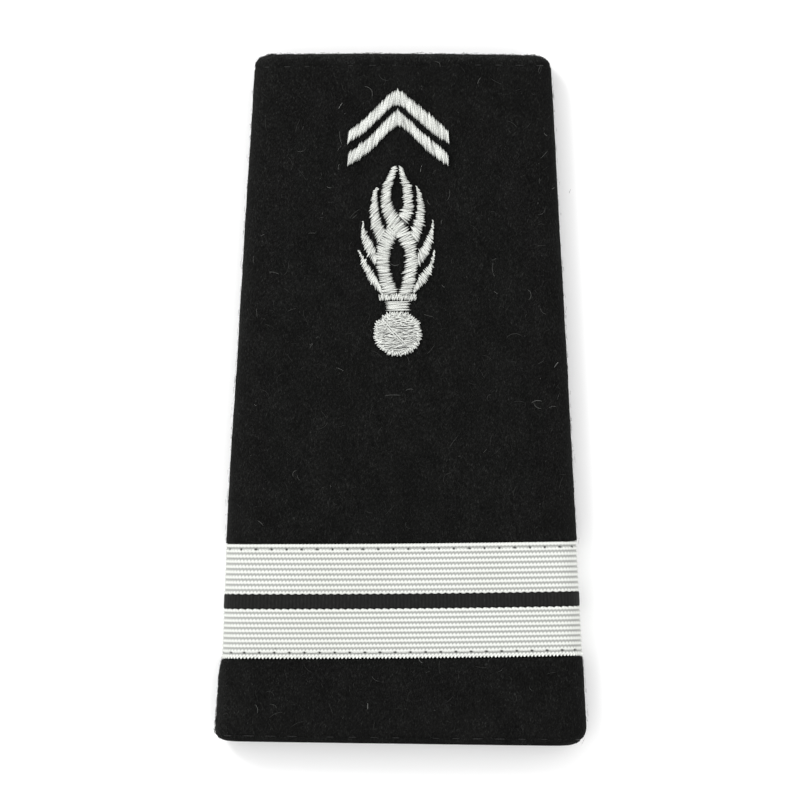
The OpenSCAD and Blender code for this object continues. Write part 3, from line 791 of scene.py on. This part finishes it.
def hem_stitches(material):
    """Rows of stitches along both ends, and the stitches that close the back."""
    plan = ring_plan(HEM_STEP)
    paths = []
    for row, reach, slant in ((BASE_ROW, 0.6, 0.0), (TIP_ROW, 0.5, TIP_HEM_SLANT)):
        line = round_sleeve(plan, np.array([[row]]), HEM_GROOVE_D * 0.75, 0.0)[0] - CENTRE
        line[:, 1] += slant * line[:, 0]
        run = distances(line)
        for k in range(int(run[-1] / HEM_PITCH)):
            at = (k + np.linspace(0.5 - reach / 2, 0.5 + reach / 2, 6)) * HEM_PITCH
            path = at_distances(at, run, line)
            outward = unit(path - [0, path[0, 1], SLEEVE_H / 2])
            sink = np.array([0.3, 0.05, 0.0, 0.0, 0.05, 0.3])[:, None] + rng.uniform(-0.02, 0.09)
            paths.append(path - outward * sink * [0.3, 0, 1])
    hems = tubes(paths, HEM_THREAD_R, rng.beta(1.3, 1.8, len(paths)))
    t = np.linspace(-1, 1, 6)
    high = 0.18 - 0.1 * (1 - np.abs(t) ** 3) + 0.15 * t ** 6
    seam = [np.stack([t * 0.55, y + t * 0.45, high], -1)
            for y in np.arange(-HALF_L + 2.5, HALF_L - 2, SEAM_PITCH) if recess_share(y) == 0]
    closing = tubes(seam, SEAM_THREAD_R, rng.uniform(0.2, 1, len(seam)))
    return thread_piece("sleeve_stitches", joined([hems, closing]), material)


# The braid
def braid_row(plan, y, depth=0.0):
    """Points round the sleeve on the braid's face, or at a depth in it."""
    return round_sleeve(plan, np.array([[y]]), depth, BRAID_PROUD)[0]


def braid_plan():
    """Places round the sleeve for the braid, and how far along it they are in millimetres."""
    plan = ring_plan(BRAID_STEP)
    return plan, distances(braid_row(plan, (LINE_LOW + LINE_HIGH) / 2))


def needle_holes(plan, s, y, first_x, pitch):
    """Distances along the braid of its stitch holes at y, one of which is at first_x on the front."""
    row = braid_row(plan, y) - CENTRE
    front = row[:, 2] > SLEEVE_H * 0.6
    at_first = np.interp(-first_x, -row[front, 0], s[front])
    first = at_first - pitch * math.floor((at_first - 0.8) / pitch)
    return np.arange(first, s[-1] - 0.6, pitch)


def scallop(s):
    """How far the white lobes swell into the black line."""
    return 0.08 * (np.abs(np.sin(math.pi * s / (2 * WEAVE_PITCH))) * 2 - 1.2)


def corner_uv(faces, shape, s, v):
    """The UVs of each face's corners, from a grid of points' distances along the braid and their v."""
    flat = np.concatenate([np.asarray(face) for face in faces])
    return np.stack([np.broadcast_to(a, shape).ravel()[flat] for a in (s / WEAVE_PITCH, v)], -1)


def slab(outer, inner, flip):
    """Faces of a closed strip whose rows go over its outer face and back along its inner face."""
    points = np.concatenate([outer, inner])
    rows, columns = points.shape[:2]
    faces = grid_faces(rows, columns, True, False)
    first = np.arange(rows) * columns
    ends = np.stack([first[::-1], first + columns - 1])
    turn = -1 if flip else 1
    return points - CENTRE, faces[:, ::turn].tolist() + ends[:, ::turn].tolist()


def band(name, node, upper, material, floats_material):
    """A white band. t runs across it from its outer edge, s along it."""
    plan, s = braid_plan()
    if upper:
        edge_y, inwards, first = BRAID_HIGH, -1, FIRST_RIB_UPPER
        stitch_in, stitch_pitch, first_hole = STITCH_IN_UPPER, STITCH_PITCH_UPPER, FIRST_HOLE_UPPER
    else:
        edge_y, inwards, first = BRAID_LOW, 1, FIRST_RIB_LOWER
        stitch_in, stitch_pitch, first_hole = STITCH_IN_LOWER, STITCH_PITCH_LOWER, FIRST_HOLE_LOWER
    stitch_y = edge_y + inwards * stitch_in
    t = np.linspace(0 if upper else 0.2, BAND_W, 76)[:, None]
    pitch = (BAND_W - first - 0.2) / (BAND_RIBS - 1)
    phase = (t - first) / pitch
    valley = smooth_step(0.17, 0.42, 0.5 - np.abs((phase % 1) - 0.5)) * (phase > 0)
    holes = needle_holes(plan, s, stitch_y, first_hole, stitch_pitch)
    near = np.abs(s[:, None] - holes).min(-1)[None, :]
    channel = np.exp(-((t - stitch_in) / 0.2) ** 2)
    hole = np.exp(-(near / 0.13) ** 2 - ((t - stitch_in) / 0.13) ** 2)
    wobble = np.array([noise.noise(Vector((x * 0.9, 7.1, 0.0))) for x in s])[None, :]
    # Painted shade along the stitch channel; the needle holes are made darker still, with a small random
    # wobble of tone
    tone = np.clip(1 - 1.6 * hole - 0.04 * channel + 0.03 * wobble, 0, 1)
    edge_round = 0.2 * (1 - smooth_step(t[0], t[0] + 0.2, t)) ** 2
    edge_round = edge_round + 0.1 * smooth_step(BAND_W - 0.2, BAND_W, t)
    depth = RIB_D * valley + 0.3 * hole + 0.04 * channel + edge_round
    swell = scallop(s)[None, :]
    frill = 0.03 * np.cos(2 * math.pi * s / WEAVE_PITCH)[None, :] * (1 - smooth_step(0, 0.3, t - t[0]))
    from_edge = t + smooth_step(BAND_W - 0.5, BAND_W, t) * swell + frill
    outer = round_sleeve(plan, edge_y + inwards * from_edge, depth, BRAID_PROUD)
    inner_t = np.linspace(BAND_W, t[0, 0], 4)[:, None]
    inner_t = inner_t + swell * (inner_t == BAND_W)
    inner = round_sleeve(plan, edge_y + inwards * inner_t, BRAID_T, BRAID_PROUD)
    points, faces = slab(outer, inner, upper)
    v = 20 - inwards * np.maximum(np.concatenate([phase, np.zeros((4, 1))]), -0.05)
    shades = np.concatenate([tone, np.full(inner.shape[:2], 0.8)]).ravel()
    uv = corner_uv(faces, points.shape[:2], s, v)
    parts = [(points.reshape(-1, 3), faces, uv, shades, 0)]
    parts.append(stitch_floats(plan, s, holes, stitch_y))
    if not upper:
        parts.append(picots(plan, s, BRAID_LOW))
    points, faces, uv, tone, index = joined(parts)
    piece = new_piece(name, points, faces, [material, floats_material], uv, index, {"tone": tone})
    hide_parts(node)
    return piece


def along_line(plan, s, y, places, depth):
    """Points at distances along the braid, at y and a depth."""
    line = braid_row(plan, y)
    inward = at_distances(places, s, (braid_row(plan, y, 0.3) - line)) / 0.3
    return at_distances(places, s, line) + inward * np.asarray(depth)[..., None] - CENTRE


def stitch_floats(plan, s, holes, y):
    """The threads that lie between the needle holes."""
    share = np.linspace(0.08, 0.92, 8)
    places = holes[:-1, None] + share * np.diff(holes)[:, None]
    sag = np.array([0.3, 0.18, 0.13, 0.12, 0.12, 0.13, 0.18, 0.3])
    paths = along_line(plan, s, y, places, sag)
    # Painted shade: the floats are darker than the other white stitches, as they lie in the stitch channel
    tones = rng.uniform(0.5, 0.7, len(paths))
    return tubes(paths, rng.uniform(0.09, 0.11, len(paths)), tones, slot=1)


def picots(plan, s, y):
    """Small loops that stand apart along the lower edge."""
    starts = np.arange(0.3, s[-1] - 0.3, WEAVE_PITCH)
    starts = starts + rng.normal(0, 0.015, len(starts))
    steps = ((0.45, -0.02, 0.2), (0.34, -0.01, 0.08), (0.2, 0.01, 0.09), (0.1, 0.02, 0.3))
    paths = np.stack([along_line(plan, s, y + up, starts + aside, depth) for up, aside, depth in steps], 1)
    radii = rng.uniform(0.17, 0.2, len(paths))
    return tubes(paths, radii, rng.uniform(0.75, 1.0, len(paths)), slot=1)


def centre_line(material):
    plan, s = braid_plan()
    t = np.linspace(0, 1, 16)[:, None]
    swell = scallop(s)[None, :]
    y = mix(LINE_LOW + swell + 0.02, LINE_HIGH - swell - 0.02, t)
    edge = np.clip(np.minimum(t, 1 - t) / 0.12, 0, 1)
    depth = 0.04 + 0.02 * np.sin(2 * math.pi * s / WEAVE_PITCH)[None, :] + 0.14 * (1 - edge) ** 2
    outer = round_sleeve(plan, y, depth, BRAID_PROUD)
    inner = round_sleeve(plan, y[[-1, 0]], BRAID_T, BRAID_PROUD)
    points, faces = slab(outer, inner, False)
    uv = corner_uv(faces, points.shape[:2], s, np.concatenate([t, [[1.0], [0.0]]]))
    piece = new_piece("braid_line_weave", points.reshape(-1, 3), faces, [material], uv)
    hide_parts("braid_centre_line")
    return piece


# The embroidery
def smooth_rows(rows):
    """Twelve rows for each one, on smooth curves through them."""
    rows = np.asarray(rows, float)
    padded = np.concatenate([rows[:1], rows, rows[-1:]])
    t = (np.arange(12) / 12)[:, None]
    out = []
    for p0, p1, p2, p3 in zip(padded, padded[1:], padded[2:], padded[3:]):
        out.append(p1 + (p2 - p0) * t / 2 + (2 * p0 - 5 * p1 + 4 * p2 - p3) * t * t / 2
                   + (3 * p1 - p0 - 3 * p2 + p3) * t ** 3 / 2)
    return np.concatenate(out + [rows[-1:]])


def charted(rows):
    squares = np.asarray(rows, float)
    scale = np.array([FLAME_W / 2 / CHART_SIDE, FLAME_H / CHART_HIGH] * 2)
    return squares * scale + [0, FLAME_FOOT, 0, FLAME_FOOT]


def chevron_rows(rows, number):
    share, drop, height = np.asarray(rows, float).T
    top = HALF_L - CHEVRON_FROM_TIP - number * CHEVRON_PITCH - drop * CHEVRON_RISE
    x = share * CHEVRON_W / 2
    return np.stack([x, top, x, top - height * CHEVRON_BAND], -1)


def stitch_paths(left, right, height):
    """Stitches from left to right ends, which go down into the felt at both."""
    count = len(left)
    t = np.linspace(0, 1, 9)[None, :, None]
    width = np.linalg.norm(right - left, axis=1)
    over = (right - left) / np.maximum(width, 1e-6)[:, None]
    flat = mix(left[:, None], right[:, None], t)
    bend = rng.normal(0, 0.03, count)[:, None, None]
    aside = np.stack([-over[:, 1], over[:, 0]], -1)[:, None]
    flat = flat + aside * bend * np.sin(math.pi * t)
    rise = (1 - np.abs(2 * t[..., 0] - 1) ** 2.6) ** 0.6
    top = np.minimum(height, 0.2 + 0.32 * width)[:, None]
    up = rise * (top - THREAD_R + rng.normal(0, 0.03, count)[:, None])
    return on_front(flat[..., 0], flat[..., 1], up)


def stitch_tones(count, level, spread=0.16):
    """Tones along stitches: neighbours differ, each has a painted highlight at one place, and each is
    painted darker towards its ends, as shade where it goes down into the felt.
    """
    t = np.linspace(0, 1, 9)[None, :]
    painted_glint_at = rng.uniform(0.1, 0.9, (count, 1))
    own = level + 0.07 * (np.arange(count) % 2 * 2 - 1) + rng.normal(0, spread, count)
    # Painted highlight at one place along each stitch
    tones = own[:, None] + 0.25 * np.exp(-((t - painted_glint_at) / 0.2) ** 2)
    # Painted shade towards the ends, where the stitches go down into the felt
    return np.clip(tones - 0.2 * np.abs(2 * t - 1) ** 6, 0, 1)


def zigzag(count):
    """The numbers of the left and right needle points that each stitch joins."""
    k = np.arange(count)
    return (k + 1) // 2, k // 2


def longer(rows, at_start, at_end):
    """Rows of a ladder with its first and last rungs moved out along it."""
    rows = np.asarray(rows, float).copy()
    middles = (rows[:, :2] + rows[:, 2:]) / 2
    for end, before, reach in ((0, 1, at_start), (-1, -2, at_end)):
        rows[end] += np.tile(unit(middles[end] - middles[before]) * reach, 2)
    return rows


def pad_of(rings):
    """A closed form under the stitches, from rings of points, as a part to join. Its tone of nought paints
    it dark, as painted shade in the gaps between the stitches.
    """
    count, wide = rings.shape[:2]
    faces = grid_faces(count, wide, False, True).tolist()
    faces += [list(range(wide))[::-1], [(count - 1) * wide + j for j in range(wide)]]
    # Tone nought: the pad is painted dark, as shade between the stitches
    return rings.reshape(-1, 3), faces, np.zeros((sum(map(len, faces)), 2)), np.zeros(count * wide), 0


def satin(rows, leans, pitch=0.33, height=SATIN_H, ragged=0.03):
    """Satin stitches to and fro over a pad between two edges, as parts to join. leans are the angles that
    the stitches make with the rungs, from the first rung to the last. pitch is the distance between the
    needle points of an edge."""
    fine = smooth_rows(rows)
    near, far = fine[:, :2], fine[:, 2:]
    run = distances((near + far) / 2)
    width = np.linalg.norm(far - near, axis=1)
    high = np.minimum(height, 0.2 + 0.3 * width)
    section_of = ((0.1, 0), (0.12, 0.3), (0.28, 0.6), (0.5, 0.7), (0.72, 0.6), (0.88, 0.3), (0.9, 0))
    parts = [pad_of(np.stack([on_front(*mix(near, far, a).T, up * high) for a, up in section_of], 1))]
    # The lower layer's lower tone is painted shade under the upper layer
    for level, gap, tone, outset in ((height * 0.84, pitch * 0.8, 0.45, -0.1), (height, pitch, 0.8, ragged)):
        stitches = max(2, round(2 * run[-1] / gap))
        points = stitches // 2 + 1
        at = np.arange(points) * gap + rng.normal(0, 0.06, (2, points))
        at[1] += gap / 2
        lean = np.interp(at / run[-1], np.linspace(0, 1, len(leans)), leans)
        shift = np.interp(at, run, width) / 2 * np.tan(np.radians(lean)) * [[1], [-1]]
        at_left, at_right = np.clip(at + shift, 0, run[-1])
        left, right = at_distances(at_left, run, near), at_distances(at_right, run, far)
        reach = rng.normal(outset, 0.1, (2, points, 1))
        over = (right - left) / np.maximum(np.linalg.norm(right - left, axis=1), 0.1)[:, None]
        left, right = left - over * reach[0], right + over * reach[1]
        from_left, from_right = zigzag(stitches)
        left, right = left[from_left], right[from_right]
        wide_enough = np.linalg.norm(right - left, axis=1) > 0.12
        paths = stitch_paths(left[wide_enough], right[wide_enough], level)
        radii = rng.uniform(0.85, 1.1, len(paths)) * THREAD_R
        parts.append(tubes(paths, radii, stitch_tones(len(paths), tone)))
    return parts


def embroider(node, parts, material):
    piece = thread_piece(node + "_stitches", joined(parts), material)
    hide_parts(node)


def chevron_stitches(rows, number):
    """The stitches lean inwards to the peak on both arms, and a few upright ones cover where they meet."""
    left = [row for row in rows if row[0] < 0.03]
    right = [row for row in rows if row[0] > -0.03]
    _, peak_top, _, peak_foot = chevron_rows(rows, number)[len(rows) // 2]
    x = np.array([-0.3, -0.17, -0.04, 0.08, 0.2])
    drop = np.abs(x) * 2 * CHEVRON_RISE / CHEVRON_W + rng.uniform(0.05, 0.2, len(x))
    tops = np.stack([x, peak_top - drop], -1)
    feet = np.stack([x - 0.08, peak_foot - drop], -1)
    upright = stitch_paths(tops, feet, SATIN_H + 0.05)
    parts = satin(chevron_rows(left, number), [22, 20, 16], ragged=0.09)
    parts += satin(chevron_rows(right, number), [-6, -10, -12], ragged=0.09)
    return parts + [tubes(upright, THREAD_R, stitch_tones(len(x), 0.75))]


def dome(x, y):
    """Height of the ball's stitching at shares of its half sizes."""
    r = np.clip(np.hypot(x, y), 0, 1)
    return BALL_T * (1 - r ** 3) ** 0.7


def ball_paths(ends, arch=0.0):
    """Threads over the ball between pairs of ends, in shares of its half sizes."""
    ends = np.asarray(ends, float)
    t = np.linspace(0, 1, 9)[None, :, None]
    line = mix(ends[:, None, :2], ends[:, None, 2:], t)
    line[..., 1] += arch * 4 * (t * (1 - t))[..., 0]
    ends_down = 0.16 * np.abs(2 * t[..., 0] - 1) ** 6
    up = dome(line[..., 0], line[..., 1]) - ends_down
    return on_front(line[..., 0] * BALL_W / 2, BALL_MIDDLE + line[..., 1] * BALL_H / 2, up)


# The long threads over the ball. Columns: one end across and up, and the other,
# in shares of the ball's half sizes
ACROSS_BALL = [
    [-0.6, 0.42, 0.37, -0.62], [-0.53, 0.5, 0.42, -0.55], [-0.47, 0.3, -0.02, -0.2],
    [-0.66, 0.62, -0.34, 0.3], [-0.72, 0.5, -0.42, 0.22], [-0.58, 0.7, -0.3, 0.42],
]


def ball_stitches():
    """The ball: a pad painted dark as shade between the stitches, rows of short stitches, a ragged border
    and a few long threads.
    """
    a = np.linspace(0, 2 * math.pi, 40, endpoint=False)
    parts = [pad_of(np.array([
        on_front(r * BALL_W / 2 * np.cos(a), BALL_MIDDLE + r * BALL_H / 2 * np.sin(a), up)
        for r, up in ((0.97, 0.0), (0.95, 0.25), (0.85, 0.5), (0.6, 0.66), (0.3, 0.74), (0.02, 0.76))]))]
    fill = []
    for y in np.arange(-0.86, 0.88, BALL_ROW_PITCH):
        half = math.sqrt(max(0.0, 0.88 ** 2 - y * y))
        cuts = np.linspace(-half, half, 2 + round(half * 5))
        cuts[1:-1] += rng.uniform(-0.12, 0.12, len(cuts) - 2)
        for start, end in zip(cuts, cuts[1:]):
            middle_x = (start + end) / 2
            slope = (end - start) / 2 * (0.12 + 0.5 * max(0.0, -middle_x * y) + rng.normal(0, 0.24))
            side = rng.normal(0, 0.016)
            fill.append([start - 0.04, y - slope + side, end + 0.04, y + slope + side])
    tones = stitch_tones(len(fill), 0.74, 0.17)
    radii = rng.uniform(0.65, 0.9, len(fill)) * THREAD_R
    parts.append(tubes(ball_paths(fill, 0.02), radii, tones))
    turn = np.arange(BORDER_POINTS) * 2 * math.pi / BORDER_POINTS
    outer_a = turn + rng.normal(0, 0.02, BORDER_POINTS)
    inner_a = turn + math.pi / BORDER_POINTS + rng.normal(0.06, 0.04, BORDER_POINTS)
    outer_r = 0.985 + rng.normal(0, 0.03, BORDER_POINTS) + 0.06 * (np.sin(outer_a) > 0.9)
    inner_r = rng.uniform(0.7, 0.85, BORDER_POINTS)
    from_outer, from_inner = np.stack(zigzag(2 * BORDER_POINTS)) % BORDER_POINTS
    outer = (outer_r * [np.cos(outer_a), np.sin(outer_a)]).T[from_outer]
    inner = (inner_r * [np.cos(inner_a), np.sin(inner_a)]).T[from_inner]
    border = np.concatenate([outer, inner], 1)
    paths = ball_paths(border)
    paths[:, 1:-1, 2] += 0.1
    radii = rng.uniform(0.9, 1.15, len(border)) * THREAD_R
    parts.append(tubes(paths, radii, stitch_tones(len(border), 0.8)))
    paths = ball_paths(ACROSS_BALL)
    paths[..., 2] += 0.13
    parts.append(tubes(paths, 0.85 * THREAD_R, stitch_tones(len(ACROSS_BALL), 0.75, 0.1)))
    return parts


def embroidery(material):
    embroider("chevron_upper", chevron_stitches(CHEVRON_UPPER, 0), material)
    embroider("chevron_lower", chevron_stitches(CHEVRON_LOWER, 1), material)
    over = satin(longer(charted(STRAND_OVER), 0, 0.25), [25, 30, 25, 12, 12, 16, 12, 2], height=0.8)
    embroider("flame_strand_over", over, material)
    under = satin(longer(charted(STRAND_UNDER_HIGH), 0, 0.45), [-30, -20, 0, 14, 20, 20])
    under += satin(longer(charted(STRAND_UNDER_LOW), 0.5, 0.25), [10, 5, 0, 2, 5, 8])
    embroider("flame_strand_under", under, material)
    for name, (leans, chart) in TONGUES.items():
        tongue = satin(longer(charted(chart), 0, 0.75), leans, height=0.6)
        embroider("flame_tongue_" + name, tongue, material)
    half = COLLAR_W / 2
    high = COLLAR_H + 0.05
    edge = COLLAR_TOP + 0.1
    collar = [[x * half, edge - high * (1 - up) / 2, x * half, edge - high * (1 + up) / 2] for x, up in (
        (-0.98, 0.45), (-0.92, 0.8), (-0.8, 1), (0, 1), (0.8, 1), (0.92, 0.8), (0.98, 0.45))]
    embroider("grenade_collar", satin(collar, [12, 10, 8], 0.36), material)
    neck = [[-NECK_W / 2, NECK_TOP + 0.12, NECK_W / 2, NECK_TOP + 0.12],
            [-NECK_FOOT_W / 2, NECK_TOP - NECK_H - 0.15, NECK_FOOT_W / 2, NECK_TOP - NECK_H - 0.15]]
    embroider("grenade_neck", satin(neck, [4, 0], 0.36), material)
    embroider("grenade_ball", ball_stitches(), material)


# Floor, lights and camera
def studio():
    floor_mesh = bpy.data.meshes.new("floor")
    build = bmesh.new()
    bmesh.ops.create_grid(build, x_segments=1, y_segments=1, size=3.0)
    build.to_mesh(floor_mesh)
    build.free()
    floor = new_object("floor", floor_mesh)
    floor.location.z = cad_box[0][2]
    nodes = Nodes("floor_paper", 0.9, 0.05)
    colour = nodes.ramp(nodes.noise(3, 2), [(0.3, (0.96, 0.96, 0.96)), (0.7, (0.98, 0.98, 0.98))])
    floor_mesh.materials.append(nodes.finish(colour, nodes.bump(nodes.noise(900, 2), 0.00001)))
    world = bpy.data.worlds.new("studio")
    bpy.context.scene.world = world
    world.use_nodes = True
    sky = world.node_tree.nodes["Background"]
    sky.inputs["Color"].default_value = (1, 1, 1, 1)
    sky.inputs["Strength"].default_value = 1.12
    for name, place_at, size, energy in (
            ("key", (-0.45, 0.5, 0.6), 0.3, 4.0), ("fill", (0.5, -0.3, 0.6), 0.5, 1.0)):
        light = bpy.data.lights.new(name, "AREA")
        light.size = size
        light.energy = energy
        lamp = new_object(name, light)
        lamp.location = place_at
        lamp.rotation_euler = (-Vector(place_at)).to_track_quat("-Z", "Y").to_euler()


def photo_camera():
    """Straight above, with the object's middle where the photograph has it."""
    height = 2.0
    data = bpy.data.cameras.new("camera")
    data.sensor_width = 36
    data.lens = data.sensor_width * (height - PHOTO_FACE * MM) / (PHOTO_W * MM)
    camera = new_object("camera", data)
    camera.location = (-0.31 * MM, -0.06 * MM, height)
    camera.rotation_euler = (0, 0, math.radians(0.23))
    bpy.context.scene.camera = camera


bpy.context.scene.view_settings.view_transform = "Standard"
photo_camera()
studio()
felt = felt_material()
fibre = fibre_material()
white_thread = thread_material("thread_white", 112, 283)
skin, skin_grid = felt_skin(felt)
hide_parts("felt_sleeve")
loose = [fibres(skin_grid, fibre), edge_fuzz(skin_grid, fibre), lint(fibre)]
sewing = hem_stitches(thread_material("thread_black", 18, 32))
braid_white = braid_white_material()
upper_band = band("braid_upper_weave", "braid_upper_band", True, braid_white, white_thread)
lower_band = band("braid_lower_weave", "braid_lower_band", False, braid_white, white_thread)
line = centre_line(braid_black_material())
embroidery(white_thread)
